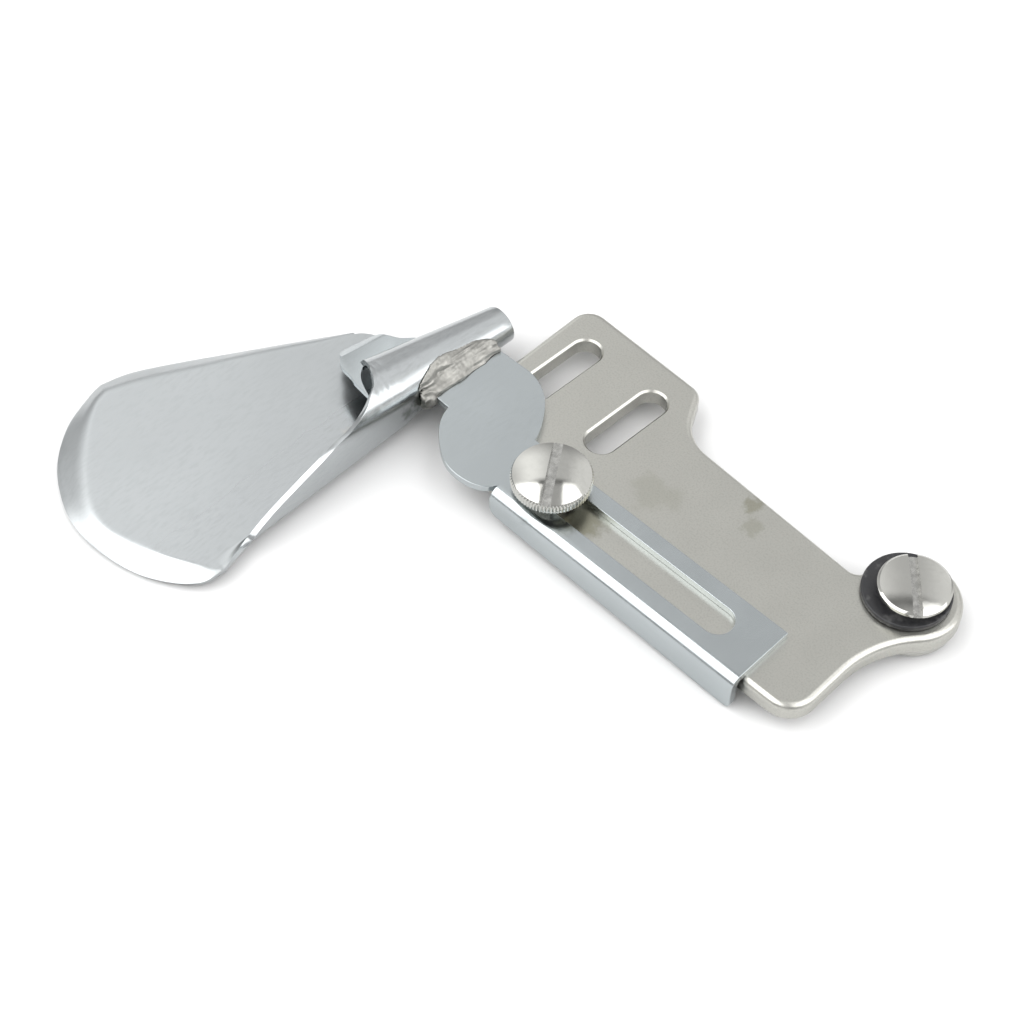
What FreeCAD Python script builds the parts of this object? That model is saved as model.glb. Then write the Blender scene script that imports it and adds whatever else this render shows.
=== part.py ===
import FreeCAD, Part
import math
import os
import Sketcher

os.makedirs("parts", exist_ok=True)
doc = FreeCAD.newDocument("hemmer")
Vec = FreeCAD.Vector

# Every driving size, in mm and degrees. X runs from the scoop to the pivot,
# Y runs the way the cloth is fed, Z is up, and z = 0 is the top of the base plate.
size = {
    # base plate
    "plate_thick": 2.2,
    "plate_reach": 57.3,
    "plate_near": 22.3,
    "plate_far": 6.3,
    "tab_long": 18.4,
    "plate_taper": 2.3,
    "plate_round": 0.85,
    "plate_corner": 2.7,
    "tail_corner": 9.0,
    "foot_corner": 3.6,
    "pivot_end_r": 6.05,
    "hip_r": 2.3,
    "sweep_r": 6.0,
    "neck_r": 1.6,
    "hollow_r": 14.0,
    "slot_width": 4.0,
    "slot_length": 12.6,
    "slot_pitch": 11.4,
    "slot_inset": 5.25,
    "slot_middle": 3.5,
    "slot_chamfer": 0.25,
    # folder bracket
    "bracket_sheet": 1.0,
    "bend_r": 1.5,
    "plate_gap": 0.8,
    "flange_wide": 9.6,
    "flange_drop_left": 2.85,
    "flange_drop_right": 4.2,
    "guide_width": 4.1,
    "guide_travel": 26.0,
    "guide_inset": 5.35,
    "guide_lead": 2.95,
    "guide_margin": 4.85,
    "solder_gap": 0.35,
    # thumb screw
    "thumb_x": 39.4,
    "thumb_head_r": 4.95,
    "thumb_band": 1.6,
    "thumb_dome": 0.85,
    "thumb_collar_r": 3.2,
    "thumb_collar_high": 1.6,
    "thumb_slot": 1.2,
    "thumb_slot_deep": 1.0,
    "thumb_slot_turn": 124.3,
    "thumb_below": 0.5,
    # pivot
    "washer_r": 5.35,
    "washer_thick": 0.8,
    "washer_shift": 0.8,
    "pivot_head_r": 4.45,
    "pivot_head_high": 2.2,
    "pivot_chamfer": 0.4,
    "pivot_shank_r": 2.45,
    "pivot_slot": 1.1,
    "pivot_slot_deep": 1.0,
    "pivot_slot_turn": 132.4,
    "nut_r": 5.7,
    "nut_thick": 1.65,
    # fits
    "turn_gap": 0.05,
    "slide_gap": 0.08,
    "thread_gap": 0.03,
    # scoop
    "scoop_sheet": 0.7,
    "scoop_floor": 3.0,
    "tube_gap": 3.3,
    "tube_outlet": 3.2,
    "tube_start": 14.0,
    "tube_outlet_r": 2.52,
    "tube_growth": 0.0875,
    "tube_closes": 345.0,
    "wrap_end": 246.0,
    "mouth_at": 22.1,
    "wall_bend_r": 1.1,
    "rim_drop": 1.5,
    # guide tongue
    "tongue_sheet": 0.65,
    "tongue_rise": 0.3,
    "tongue_level": 2.3,
    "lip_fall": 0.75,
}

sheet = doc.addObject("Spreadsheet::Sheet", "Sizes")
for row, (name, value) in enumerate(size.items(), start=1):
    sheet.set("A%d" % row, name)
    sheet.set("B%d" % row, str(value))
    sheet.setAlias("B%d" % row, name)
doc.recompute()


def flat(point, z=0.0):
    return Vec(point[0], point[1], z)


def curveThrough(points):
    curve = Part.BSplineCurve()
    curve.interpolate(Points=points)
    return curve


# A closed outline is a start point and steps of ("line", end), ("arc", middle, end) or ("curve", points)
def outlineCurves(start, steps, z=0.0):
    curves = []
    here = flat(start, z)
    for step in steps:
        if step[0] == "line":
            there = flat(step[1], z)
            curves.append(Part.LineSegment(here, there))
        elif step[0] == "arc":
            there = flat(step[2], z)
            curves.append(Part.Arc(here, flat(step[1], z), there))
        else:
            points = [here] + [flat(point, z) for point in step[1]]
            there = points[-1]
            curves.append(curveThrough(points))
        here = there
    return curves


def newBody(name):
    body = doc.addObject("PartDesign::Body", name)
    body.Label = name
    return body


def newSketch(body, role, name, lift=0.0):
    sketch = body.newObject("Sketcher::SketchObject", name)
    plane = [f for f in body.Origin.OriginFeatures if f.Role == role][0]
    sketch.AttachmentSupport = [(plane, "")]
    sketch.MapMode = "FlatFace"
    sketch.AttachmentOffset = FreeCAD.Placement(Vec(0, 0, lift), FreeCAD.Rotation())
    return sketch


def addCircle(sketch, x, y, name, expression, value):
    index = sketch.addGeometry(Part.Circle(Vec(x, y, 0), Vec(0, 0, 1), value), False)
    spot = sketch.addConstraint(Sketcher.Constraint("Radius", index, value))
    sketch.renameConstraint(spot, name)
    sketch.setExpression("Constraints." + name, expression)


# A slot with round ends between two centres
def addSlot(sketch, first, last, radius):
    along = (last - first).normalize()
    across = Vec(-along.y, along.x, 0) * radius
    steps = [
        Part.LineSegment(first + across, last + across),
        Part.Arc(last + across, last + along * radius, last - across),
        Part.LineSegment(last - across, first - across),
        Part.Arc(first - across, first - along * radius, first + across),
    ]
    sketch.addGeometry(steps, False)


def pocketThrough(body, sketch, name, bothWays=False):
    pocket = body.newObject("PartDesign::Pocket", name)
    pocket.Profile = sketch
    pocket.Type = "ThroughAll"
    pocket.Midplane = bothWays
    return pocket


def topEdges(shape, level, keep):
    names = []
    for number, edge in enumerate(shape.Edges, start=1):
        box = edge.BoundBox
        if abs(box.ZMin - level) < 1e-4 and abs(box.ZMax - level) < 1e-4 and keep(edge):
            names.append("Edge%d" % number)
    return names


# Base plate
plate = newBody("base_plate")
taper = math.radians(size["plate_taper"])
left = -size["plate_reach"]
near = -size["plate_near"]
endR = size["pivot_end_r"]
corner = size["plate_corner"]
tail = size["tail_corner"]
foot = size["foot_corner"]
hip = (left + size["tab_long"], size["plate_far"])
farDir = (math.cos(taper), -math.sin(taper))
farUp = (math.sin(taper), math.cos(taper))
cornerX = left + corner
cornerY = hip[1] - (corner + farUp[0] * (cornerX - hip[0])) / farUp[1]
cornerEnd = (cornerX + corner * farUp[0], cornerY + corner * farUp[1])


def heading(angle):
    return Vec(math.cos(math.radians(angle)), math.sin(math.radians(angle)), 0)


# End of an arc that leaves a point on one heading and turns to another; left is +1, right is -1
def arcFrom(start, first, last, radius, side):
    centre = start + heading(first + side * 90) * radius
    middle = centre - heading((first + last) / 2 + side * 90) * radius
    return middle, centre - heading(last + side * 90) * radius


# Notch in the far edge: a rounded hip, a straight drop and a wide sweep into the waist
waistWay = -3.25
waistNear = Vec(-8.6, -1.85, 0)
waistUp = heading(waistWay + 90)
dropWay = -62.0
hipPoint = Vec(*hip, 0)
hipMiddle, hipEnd = arcFrom(hipPoint, -size["plate_taper"], dropWay, size["hip_r"], -1)
sweepMiddle, sweepEnd = arcFrom(hipEnd, dropWay, waistWay, size["sweep_r"], 1)
dropLong = -(sweepEnd - waistNear).dot(waistUp) / heading(dropWay).dot(waistUp)
dropShift = heading(dropWay) * dropLong
# Fillet between the waist and the round pivot end
neckR = size["neck_r"]
neckBase = waistNear + waistUp * neckR
neckAlong = neckBase.dot(heading(waistWay))
neckAway = math.sqrt((endR + neckR) ** 2 - neckBase.dot(waistUp) ** 2)
neckCentre = neckBase - heading(waistWay) * (neckAlong + neckAway)
neckStart = neckCentre - waistUp * neckR
neckEnd = neckCentre * (endR / (endR + neckR))
neckMiddle = neckCentre + ((neckStart + neckEnd) / 2 - neckCentre).normalize() * neckR
# Hollow side between the pivot end and the heel
heelX = 1.0
hollowR = size["hollow_r"]
hollowCentre = Vec(heelX + hollowR, -math.sqrt((endR + hollowR) ** 2 - (heelX + hollowR) ** 2), 0)
hollowStart = hollowCentre * (endR / (endR + hollowR))
hollowEnd = Vec(heelX, hollowCentre.y, 0)
hollowMiddle = hollowCentre + ((hollowStart + hollowEnd) / 2 - hollowCentre).normalize() * hollowR
bow = 1 - math.sqrt(0.5)
plateSteps = [
    ("arc", (cornerX - corner * math.sqrt(0.5), cornerY + corner * math.sqrt(0.5)), cornerEnd),
    ("line", hip),
    ("arc", hipMiddle, hipEnd),
    ("line", hipEnd + dropShift),
    ("arc", sweepMiddle + dropShift, sweepEnd + dropShift),
    ("line", neckStart),
    ("arc", neckMiddle, neckEnd),
    ("arc", heading(60) * endR, hollowStart),
    ("arc", hollowMiddle, hollowEnd),
    ("line", (heelX, near + foot)),
    ("arc", (heelX - foot * bow, near + foot * bow), (heelX - foot, near)),
    ("line", (left + tail, near)),
    ("arc", (left + tail * bow, near + tail * bow), (left, near + tail)),
    ("line", (left, cornerY)),
]
plateSketch = newSketch(plate, "XY_Plane", "plate_outline")
plateSketch.addGeometry(outlineCurves((left, cornerY), plateSteps), False)
platePad = plate.newObject("PartDesign::Pad", "plate_pad")
platePad.Profile = plateSketch
platePad.Length = size["plate_thick"]
platePad.setExpression("Length", "Sizes.plate_thick")
platePad.Reversed = True
doc.recompute()
plateRound = plate.newObject("PartDesign::Fillet", "plate_round")
plateRound.Base = (platePad, topEdges(platePad.Shape, 0.0, lambda edge: True))
plateRound.Radius = size["plate_round"]
plateRound.setExpression("Radius", "Sizes.plate_round")
doc.recompute()
slotR = size["slot_width"] / 2
slotHalf = size["slot_length"] / 2 - slotR
slotSketch = newSketch(plate, "XY_Plane", "bed_slots")
for index in range(2):
    middle = Vec(left + size["slot_inset"], 0, 0) + Vec(*farDir, 0) * (index * size["slot_pitch"])
    middle = middle - Vec(*farUp, 0) * (size["slot_middle"])
    addSlot(slotSketch, middle - Vec(*farUp, 0) * slotHalf, middle + Vec(*farUp, 0) * slotHalf, slotR)
slotPocket = pocketThrough(plate, slotSketch, "bed_slot_cut")
doc.recompute()
rimSpan = (size["slot_length"] + size["slot_pitch"]) / 2
slotRims = topEdges(slotPocket.Shape, 0.0, lambda edge: edge.BoundBox.XMin > left + corner / 2
                    and edge.BoundBox.XMax < left + size["slot_inset"] + size["slot_pitch"] + slotR + 0.3
                    and abs(edge.BoundBox.Center.y + size["slot_middle"]) < rimSpan
                    and edge.BoundBox.YLength < size["slot_length"])
slotEdge = plate.newObject("PartDesign::Chamfer", "bed_slot_edge")
slotEdge.Base = (slotPocket, slotRims)
slotEdge.Size = size["slot_chamfer"]
slotEdge.setExpression("Size", "Sizes.slot_chamfer")
doc.recompute()
shankR = size["guide_width"] / 2 - size["slide_gap"]
flangeNear = near - size["plate_gap"] - size["bracket_sheet"]
guideY = flangeNear + size["guide_inset"]
holeSketch = newSketch(plate, "XY_Plane", "screw_holes")
addCircle(holeSketch, 0, 0, "pivot_hole", "Sizes.pivot_shank_r + Sizes.turn_gap",
          size["pivot_shank_r"] + size["turn_gap"])
addCircle(holeSketch, -size["thumb_x"], guideY, "thumb_hole",
          "Sizes.guide_width / 2 - Sizes.slide_gap + Sizes.thread_gap", shankR + size["thread_gap"])
pocketThrough(plate, holeSketch, "screw_hole_cut")

# Folder bracket: a bent flange that slides on the plate, with an ear toward the tube
bracket = newBody("folder_bracket")
sheetB = size["bracket_sheet"]
bendR = size["bend_r"]
bendIn = bendR - sheetB
nearY = flangeNear
farY = nearY + size["flange_wide"]
bendY = nearY + bendR
guideHalf = size["guide_width"] / 2
flangeX = -size["thumb_x"] - guideHalf - size["guide_lead"]
rightX = -size["thumb_x"] + size["guide_travel"] + guideHalf + size["guide_margin"]
bendZ = sheetB - bendR
lowZ = -size["flange_drop_right"] - 0.5
half = math.sqrt(0.5)
profile = [
    Part.LineSegment(Vec(farY, sheetB, 0), Vec(bendY, sheetB, 0)),
    Part.Arc(Vec(bendY, sheetB, 0), Vec(bendY - bendR * half, bendZ + bendR * half, 0), Vec(nearY, bendZ, 0)),
    Part.LineSegment(Vec(nearY, bendZ, 0), Vec(nearY, lowZ, 0)),
    Part.LineSegment(Vec(nearY, lowZ, 0), Vec(nearY + sheetB, lowZ, 0)),
    Part.LineSegment(Vec(nearY + sheetB, lowZ, 0), Vec(nearY + sheetB, bendZ, 0)),
    Part.Arc(Vec(nearY + sheetB, bendZ, 0), Vec(bendY - bendIn * half, bendZ + bendIn * half, 0),
             Vec(bendY, 0, 0)),
    Part.LineSegment(Vec(bendY, 0, 0), Vec(farY, 0, 0)),
    Part.LineSegment(Vec(farY, 0, 0), Vec(farY, sheetB, 0)),
]
flangeSketch = newSketch(bracket, "YZ_Plane", "flange_section", flangeX)
flangeSketch.setExpression("AttachmentOffset.Base.z",
                           "-Sizes.thumb_x - Sizes.guide_width / 2 - Sizes.guide_lead")
flangeSketch.addGeometry(profile, False)
flangePad = bracket.newObject("PartDesign::Pad", "flange_pad")
flangePad.Profile = flangeSketch
flangePad.Length = rightX - flangeX
flangePad.setExpression("Length", "Sizes.guide_travel + Sizes.guide_width + Sizes.guide_lead"
                                  " + Sizes.guide_margin")
doc.recompute()
nearX = left - size["tube_gap"]
earX = nearX + size["solder_gap"]


# A point of the ear: share of its length from the tube to the flange, and Y from the flange's far edge
def earPoint(share, rise):
    return (earX + (flangeX - earX) * share, farY + rise)


earSteps = [
    ("line", earPoint(0.331, 7.35)),
    ("curve", [earPoint(0.546, 6.7), earPoint(0.659, 5.55), earPoint(0.773, 3.5), earPoint(0.849, 1.6),
               earPoint(0.893, 0)]),
    ("line", (flangeX + 1.0, farY)),
    ("line", (flangeX + 1.0, bendY)),
    ("line", (flangeX, bendY)),
    ("curve", [earPoint(0.968, -8.9), earPoint(0.893, -9.85), earPoint(0.779, -10.38),
               earPoint(0.596, -10.25), earPoint(0.382, -8.25), earPoint(0.249, -5.9),
               earPoint(0.199, -3.8)]),
    ("line", earPoint(0, -3.7)),
    ("line", earPoint(0, 7.2)),
]
earSketch = newSketch(bracket, "XY_Plane", "ear_outline")
earSketch.addGeometry(outlineCurves(earPoint(0, 7.2), earSteps), False)
earPad = bracket.newObject("PartDesign::Pad", "ear_pad")
earPad.Profile = earSketch
earPad.Length = sheetB
earPad.setExpression("Length", "Sizes.bracket_sheet")
doc.recompute()
guideSketch = newSketch(bracket, "XY_Plane", "guide_slot")
guideLeft = Vec(-size["thumb_x"], guideY, 0)
guideRight = guideLeft + Vec(size["guide_travel"], 0, 0)
addSlot(guideSketch, guideLeft, guideRight, guideHalf)
pocketThrough(bracket, guideSketch, "guide_cut", True)
doc.recompute()
dropLeft = -size["flange_drop_left"]
dropRight = -size["flange_drop_right"]
trimSteps = [
    ("arc", (flangeX + 0.35, dropLeft + 0.35), (flangeX + 1.2, dropLeft - 0.04)),
    ("line", (rightX - 0.8, dropRight + 0.03)),
    ("arc", (rightX - 0.23, dropRight + 0.25), (rightX, dropRight + 0.8)),
    ("line", (rightX + 1.0, dropRight + 0.8)),
    ("line", (rightX + 1.0, lowZ - 1.0)),
    ("line", (flangeX - 1.0, lowZ - 1.0)),
    ("line", (flangeX - 1.0, dropLeft + 1.2)),
    ("line", (flangeX, dropLeft + 1.2)),
]
trimSketch = newSketch(bracket, "XZ_Plane", "flange_lower_edge")
trimSketch.addGeometry(outlineCurves((flangeX, dropLeft + 1.2), trimSteps), False)
pocketThrough(bracket, trimSketch, "flange_trim", True)


# A turned screw: half profile of (radius, height) points, with a driving slot on top
def turnedScrew(name, profilePoints, slotName, turnName, depthName, topZ, place):
    body = newBody(name)
    sketch = newSketch(body, "XZ_Plane", name + "_profile")
    count = len(profilePoints)
    for index in range(count):
        first = Vec(*profilePoints[index], 0)
        last = Vec(*profilePoints[(index + 1) % count], 0)
        sketch.addGeometry(Part.LineSegment(first, last), False)
    turned = body.newObject("PartDesign::Revolution", name + "_turned")
    turned.Profile = sketch
    turned.ReferenceAxis = (sketch, ["V_Axis"])
    turned.Angle = 360.0
    doc.recompute()
    turn = math.radians(size[turnName])
    along = Vec(math.cos(turn), math.sin(turn), 0) * 8.0
    across = Vec(-math.sin(turn), math.cos(turn), 0) * (size[slotName] / 2)
    corners = [along + across, across - along, -along - across, along - across]
    slotted = newSketch(body, "XY_Plane", name + "_slot", topZ)
    for index in range(4):
        slotted.addGeometry(Part.LineSegment(corners[index], corners[(index + 1) % 4]), False)
    cut = body.newObject("PartDesign::Pocket", name + "_slot_cut")
    cut.Profile = slotted
    cut.Length = size[depthName]
    cut.setExpression("Length", "Sizes." + depthName)
    body.Placement = FreeCAD.Placement(place, FreeCAD.Rotation())
    return body


# Thumb screw: shank through the guide slot into the plate, collar, knurled band and domed top
collarTop = sheetB + size["thumb_collar_high"]
bandTop = collarTop + size["thumb_band"]
headR = size["thumb_head_r"]
domeTop = bandTop + size["thumb_dome"]
tipZ = -size["plate_thick"] - size["thumb_below"]
thumbProfile = [
    (0, tipZ), (shankR - 0.3, tipZ), (shankR, tipZ + 0.3), (shankR, sheetB),
    (size["thumb_collar_r"], sheetB), (size["thumb_collar_r"], collarTop),
    (headR - 0.3, collarTop), (headR, collarTop + 0.3), (headR, bandTop - 0.25),
]
domeR = headR - 0.25
domeSteps = 6
for index in range(domeSteps + 1):
    share = index / domeSteps
    radius = domeR * (1 - share)
    thumbProfile.append((radius, bandTop + size["thumb_dome"] * (1 - (radius / domeR) ** 2)))
thumb = turnedScrew("thumb_screw", thumbProfile, "thumb_slot", "thumb_slot_turn", "thumb_slot_deep",
                    domeTop, Vec(-size["thumb_x"], guideY, 0))

# Pivot screw, its washer above the plate and the round nut below it
headLow = size["washer_thick"]
headTop = headLow + size["pivot_head_high"]
pivotR = size["pivot_head_r"]
nutLow = -size["plate_thick"] - size["nut_thick"]
bevel = size["pivot_chamfer"]
pivotProfile = [
    (0, nutLow), (size["pivot_shank_r"], nutLow), (size["pivot_shank_r"], headLow),
    (pivotR - 0.15, headLow), (pivotR, headLow + 0.15), (pivotR, headTop - bevel),
    (pivotR - bevel, headTop), (pivotR - bevel - 0.5, headTop - 0.08), (0, headTop - 0.2),
]
pivot = turnedScrew("pivot_screw", pivotProfile, "pivot_slot", "pivot_slot_turn", "pivot_slot_deep",
                    headTop, Vec(0, 0, 0))


def roundPlate(name, radius, radiusName, holeR, holeName, shift, thick, thickName, lift):
    body = newBody(name)
    sketch = newSketch(body, "XY_Plane", name + "_ring")
    addCircle(sketch, -shift, 0, "outer_r", radiusName, radius)
    addCircle(sketch, -shift, 0, "inner_r", holeName, holeR)
    pad = body.newObject("PartDesign::Pad", name + "_pad")
    pad.Profile = sketch
    pad.Length = thick
    pad.setExpression("Length", thickName)
    doc.recompute()
    body.Placement = FreeCAD.Placement(Vec(0, 0, lift), FreeCAD.Rotation())
    return body, pad


washerShift = size["washer_shift"]
washer, washerPad = roundPlate(
    "pivot_washer", size["washer_r"], "Sizes.washer_r",
    size["pivot_shank_r"] + washerShift + size["turn_gap"],
    "Sizes.pivot_shank_r + Sizes.washer_shift + Sizes.turn_gap",
    washerShift, size["washer_thick"], "Sizes.washer_thick", 0.0)
nut, nutPad = roundPlate(
    "pivot_nut", size["nut_r"], "Sizes.nut_r", size["pivot_shank_r"] + size["thread_gap"],
    "Sizes.pivot_shank_r + Sizes.thread_gap", 0.0, size["nut_thick"], "Sizes.nut_thick", nutLow)
nutEdge = nut.newObject("PartDesign::Chamfer", "nut_edge")
nutEdge.Base = (nutPad, topEdges(nutPad.Shape, 0.0, lambda edge: edge.BoundBox.XLength > 8.0))
nutEdge.Size = 0.25
doc.recompute()

# Scoop: one sheet with a flat floor, a rim bent down and a near border rolled into a cone.
# On the roll, the turn is 0 at the bottom, 90 on the near side and 180 at the top.
# The scoop, its tongue and the bead are drawn with X = 0 on the near side of the tube.
folderPlace = FreeCAD.Placement(Vec(nearX, 0, 0), FreeCAD.Rotation())
thick = size["scoop_sheet"]
floorLow = -size["scoop_floor"]
floorTop = floorLow + thick
outletY = -size["tube_outlet"]
startY = -size["tube_start"]
mouthY = -size["mouth_at"]


def coneR(y):
    return size["tube_outlet_r"] + size["tube_growth"] * (outletY - y)


def conePoint(y, turn, inner=False):
    big = coneR(y)
    radius = big - thick if inner else big
    angle = math.radians(turn)
    return Vec(radius * math.sin(angle) - big, y, floorLow + big - radius * math.cos(angle))


def coneArc(y, first, last, inner=False):
    middle = (first + last) / 2
    return Part.Arc(conePoint(y, first, inner), conePoint(y, middle, inner), conePoint(y, last, inner)).toShape()


def lineEdge(first, last):
    return Part.LineSegment(first, last).toShape()


def ruled(first, last):
    return Part.makeLoft([Part.Wire(first), Part.Wire(last)], False, True).Faces[0]


def flatFace(edges):
    return Part.Face(Part.Wire(Part.__sortEdges__(edges)))


# Along the mouth the sheet runs flat from the foot of the roll, turns up in a tight bend, climbs the
# near wall and goes round the roll. Distances are down the feed from the start of the mouth.
# Roll rows: distance at the foot, distance at the free edge, turn at the free edge
rollRows = [
    (0.0, 0.0, size["wrap_end"]),
    (0.8, 0.2, 231.0),
    (1.7, 0.55, 213.0),
    (2.7, 1.1, 194.0),
    (3.5, 1.55, 182.0),
    (4.4, 2.1, 168.0),
    (5.3, 2.8, 154.7),
    (6.3, 3.8, 144.5),
    (8.1, 5.8, 126.0),
    (10.5, 8.5, 110.0),
    (12.7, 11.1, 102.0),
    (15.1, 13.8, 90.0),
]
# Wall rows, where the wall runs out: the two distances, turn and length of the bend, height past it
wallRows = [
    (17.6, 16.6, 90.0, 1.0, 3.4),
    (20.1, 19.4, 90.0, 1.0, 2.5),
    (21.9, 21.35, 90.0, 1.0, 1.8),
    (23.9, 23.5, 88.0, 1.0, 0.95),
    (26.0, 25.8, 50.0, 0.64, 0.3),
    (27.4, 27.3, 25.0, 0.64, 0.28),
    (28.8, 28.8, 9.0, 0.7, 0.35),
    (30.1, 30.1, 0.0, 0.75, 0.5),
]
floorColumns = 5
bendColumns = 8
wallColumns = 17
wallR = size["wall_bend_r"]
bendLong = wallR * math.pi / 2


# A point at a distance along the sheet's section, which is made of legs of (length, turn)
def alongSheet(y, legs, run, inner):
    x = -coneR(y)
    z = floorLow
    way = 0.0
    for length, turn in legs:
        part = min(run, length)
        if abs(turn) < 1e-9:
            x = x + part * math.cos(way)
            z = z + part * math.sin(way)
        else:
            radius = length / turn
            ahead = way + part / radius
            x = x + radius * (math.sin(ahead) - math.sin(way))
            z = z + radius * (math.cos(way) - math.cos(ahead))
            way = ahead
        run = run - part
        if run < 1e-9:
            break
    if inner:
        x = x - thick * math.sin(way)
        z = z + thick * math.cos(way)
    return Vec(x, y, z)


def sheetRow(footAway, edgeAway, bend, bendShare, wall, edgeTurn, inner):
    arc = bendLong * bendShare
    roll = math.radians(edgeTurn - 90)
    points = []
    for column in range(floorColumns + bendColumns + wallColumns + 1):
        share = column / (floorColumns + bendColumns + wallColumns)
        y = mouthY - footAway - (edgeAway - footAway) * share
        big = coneR(y)
        reach = big - wallR
        straight = reach if wall is None else wall
        if column <= floorColumns:
            run = reach * column / floorColumns
        elif column <= floorColumns + bendColumns:
            run = reach + arc * (column - floorColumns) / bendColumns
        else:
            last = (column - floorColumns - bendColumns) / wallColumns
            run = reach + arc + (straight + big * roll) * last
        legs = [(reach, 0.0), (arc, math.radians(bend)), (straight, 0.0), (big * roll, roll)]
        points.append(alongSheet(y, legs, run, inner))
    return points


def mouthSurface(inner):
    rows = [sheetRow(foot, edge, 90.0, 1.0, None, turn, inner) for foot, edge, turn in rollRows]
    for foot, edge, bend, bendShare, wall in wallRows:
        rows.append(sheetRow(foot, edge, bend, bendShare, wall, 90.0, inner))
    surface = Part.BSplineSurface()
    surface.interpolate(rows)
    return surface, rows[-1]


mouth = {}
for inner in (False, True):
    surface, endRow = mouthSurface(inner)
    u0, u1, v0, v1 = surface.bounds()
    mouth[inner] = {
        "face": surface.toShape(),
        "foot": surface.vIso(v0).toShape(),
        "edge": surface.vIso(v1).toShape(),
        "start": surface.uIso(u0).toShape(),
        "endRow": endRow,
    }

wrapEnd = size["wrap_end"]
closes = size["tube_closes"]
faces = []
for inner in (False, True):
    faces.append(mouth[inner]["face"])
    faces.append(ruled(mouth[inner]["start"], coneArc(startY, 0, wrapEnd, inner)))
    faces.append(ruled(coneArc(startY, 0, wrapEnd, inner), coneArc(outletY, 0, wrapEnd, inner)))
    faces.append(ruled(coneArc(startY, wrapEnd, closes, inner), coneArc(outletY, wrapEnd, closes, inner)))
faces.append(ruled(mouth[False]["edge"], mouth[True]["edge"]))


def coneEdge(firstY, lastY, turn, inner):
    return lineEdge(conePoint(firstY, turn, inner), conePoint(lastY, turn, inner))


def sheetEdge(y, turn):
    return lineEdge(conePoint(y, turn), conePoint(y, turn, True))


faces.append(ruled(coneEdge(mouthY, startY, wrapEnd, False), coneEdge(mouthY, startY, wrapEnd, True)))
faces.append(ruled(coneEdge(startY, outletY, closes, False), coneEdge(startY, outletY, closes, True)))
faces.append(ruled(coneEdge(startY, outletY, 0, False), coneEdge(startY, outletY, 0, True)))
faces.append(flatFace([coneArc(startY, wrapEnd, closes), sheetEdge(startY, closes),
                       coneArc(startY, wrapEnd, closes, True), sheetEdge(startY, wrapEnd)]))
faces.append(flatFace([coneArc(outletY, 0, wrapEnd), coneArc(outletY, wrapEnd, closes),
                       sheetEdge(outletY, closes), coneArc(outletY, wrapEnd, closes, True),
                       coneArc(outletY, 0, wrapEnd, True), sheetEdge(outletY, 0)]))

# Floor and rim, drawn on the upper face: the bend line and the outer edge of the rim
down = Vec(0, 0, -thick)
rimLow = floorTop - size["rim_drop"]
footStart = conePoint(startY, 0, True)
borderEnd = mouth[True]["endRow"]


def scoopPoints(places, z):
    return [Vec(x, y, z) for x, y in places]


bendStart, bendTip = scoopPoints([(-15.75, -16.15), (-30.4, -44.6)], floorTop)
bendFar = [bendStart] + scoopPoints([(-18.5, -20.9), (-22.3, -27.8), (-25.1, -33.7), (-28.0, -39.3)], floorTop)
bendFar.append(bendTip)
bendNear = [bendTip] + scoopPoints([(-28.4, -48.7), (-25.0, -52.3), (-21.3, -55.4), (-17.0, -57.4),
                                    (-12.6, -57.9), (-9.2, -56.9), (-7.3, -54.8)], floorTop)
bendNear.append(borderEnd[0])
rimStart = Vec(-16.1, -16.0, floorTop - 0.6)
rimTip = Vec(-32.4, -43.7, rimLow)
rimFar = [rimStart] + scoopPoints([(-19.7, -20.1), (-23.7, -26.7), (-28.3, -34.3), (-31.3, -39.8)], rimLow)
rimFar.append(rimTip)
rimNear = [rimTip] + scoopPoints([(-31.9, -46.0), (-29.9, -51.0), (-25.9, -55.8), (-20.6, -59.0),
                                  (-16.0, -60.2), (-11.0, -60.1), (-6.6, -59.1)], rimLow)
for x, y, drop in [(-3.0, -57.4, 1.2), (-0.66, -55.7, 0.75), (0.4, -54.3, 0.3)]:
    rimNear.append(Vec(x, y, floorTop - drop))
rimNear.append(borderEnd[-1])
bendCurves = [curveThrough(bendFar).toShape(), curveThrough(bendNear).toShape()]
rimCurves = [curveThrough(rimFar).toShape(), curveThrough(rimNear).toShape()]
outletPoints = scoopPoints([(-14.7, startY - 1.4), (-13.2, startY - 0.5), (-11.0, startY - 0.05),
                            (-8.5, startY)], floorTop)
outletCurve = curveThrough([bendStart] + outletPoints + [footStart]).toShape()
for bend, rim in zip(bendCurves, rimCurves):
    top = ruled(bend, rim)
    faces.append(top)
    faces.append(top.translated(down))
    faces.append(ruled(rim, rim.translated(down)))
faces.append(ruled(outletCurve, outletCurve.translated(down)))
startEdge = lineEdge(bendStart, rimStart)
faces.append(ruled(startEdge, startEdge.translated(down)))
footTop = [coneEdge(mouthY, startY, 0, True), mouth[True]["foot"]]
footLow = [coneEdge(mouthY, startY, 0, False), mouth[False]["foot"]]
faces.append(flatFace(bendCurves + [outletCurve] + footTop))
faces.append(flatFace([edge.translated(down) for edge in bendCurves + [outletCurve]] + footLow))
shell = Part.makeShell(faces)
shell.sewShape(0.002)
scoopShape = Part.Solid(shell.Shells[0])
if scoopShape.Volume < 0:
    scoopShape.reverse()
scoop = doc.addObject("Part::Feature", "scoop")
scoop.Label = "scoop"
scoop.Shape = scoopShape
scoop.Placement = folderPlace

# Guide tongue: a second sheet on a slope, its far border bent down, its point inside the mouth
rise = size["tongue_rise"]
fall = size["lip_fall"]
lipFar = (-10.1, -15.9)
lipNear = (-11.45, -21.9)
lipWay = (flat(lipFar) - flat(lipNear)).normalize()
lipOut = Vec(-lipWay.y, lipWay.x, 0)


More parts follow.
